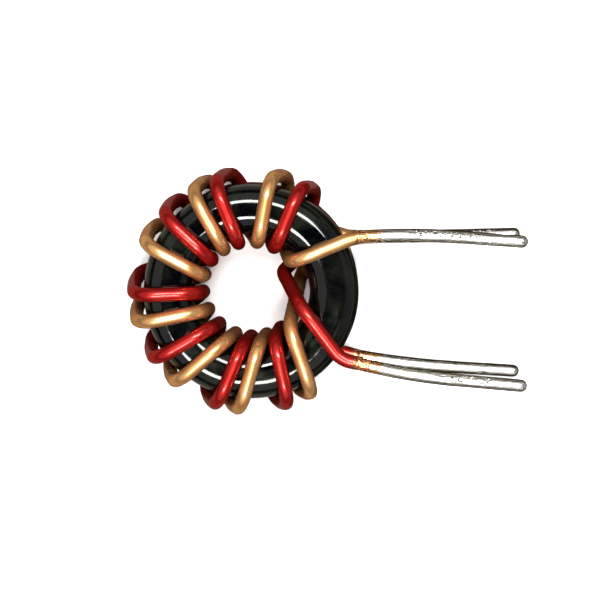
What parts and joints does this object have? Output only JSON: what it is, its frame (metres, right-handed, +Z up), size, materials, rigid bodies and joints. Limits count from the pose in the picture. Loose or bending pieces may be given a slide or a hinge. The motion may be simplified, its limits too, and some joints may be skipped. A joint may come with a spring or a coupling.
{
  "type": "toroidal inductor",
  "caption": "Ring-core inductor with a red and a gold enamelled wire wound side by side through the ring, and straight tinned wire ends for soldering.",
  "frame": {"origin": "on the ring core's axis, in the plane that the lower turns rest on", "axes": "+Z up along the core's axis, +X from the core's axis towards the tips of the tinned ends, +Y completes a right-handed frame"},
  "size_m": [0.0501, 0.0308, 0.015],
  "materials": {
    "core": "glossy dark green-black epoxy coat over a magnetic core",
    "gold_enamel": "glossy clear gold enamel over copper",
    "red_enamel": "glossy clear red enamel over copper",
    "tin": "bright solder dip with small pits"
  },
  "bodies": {
    "root": {"core": "core", "gold_winding": "gold_enamel", "red_winding": "red_enamel", "gold_start_lead": "tin", "gold_end_lead": "tin", "red_start_lead": "tin", "red_end_lead": "tin"}
  },
  "joints": []
}
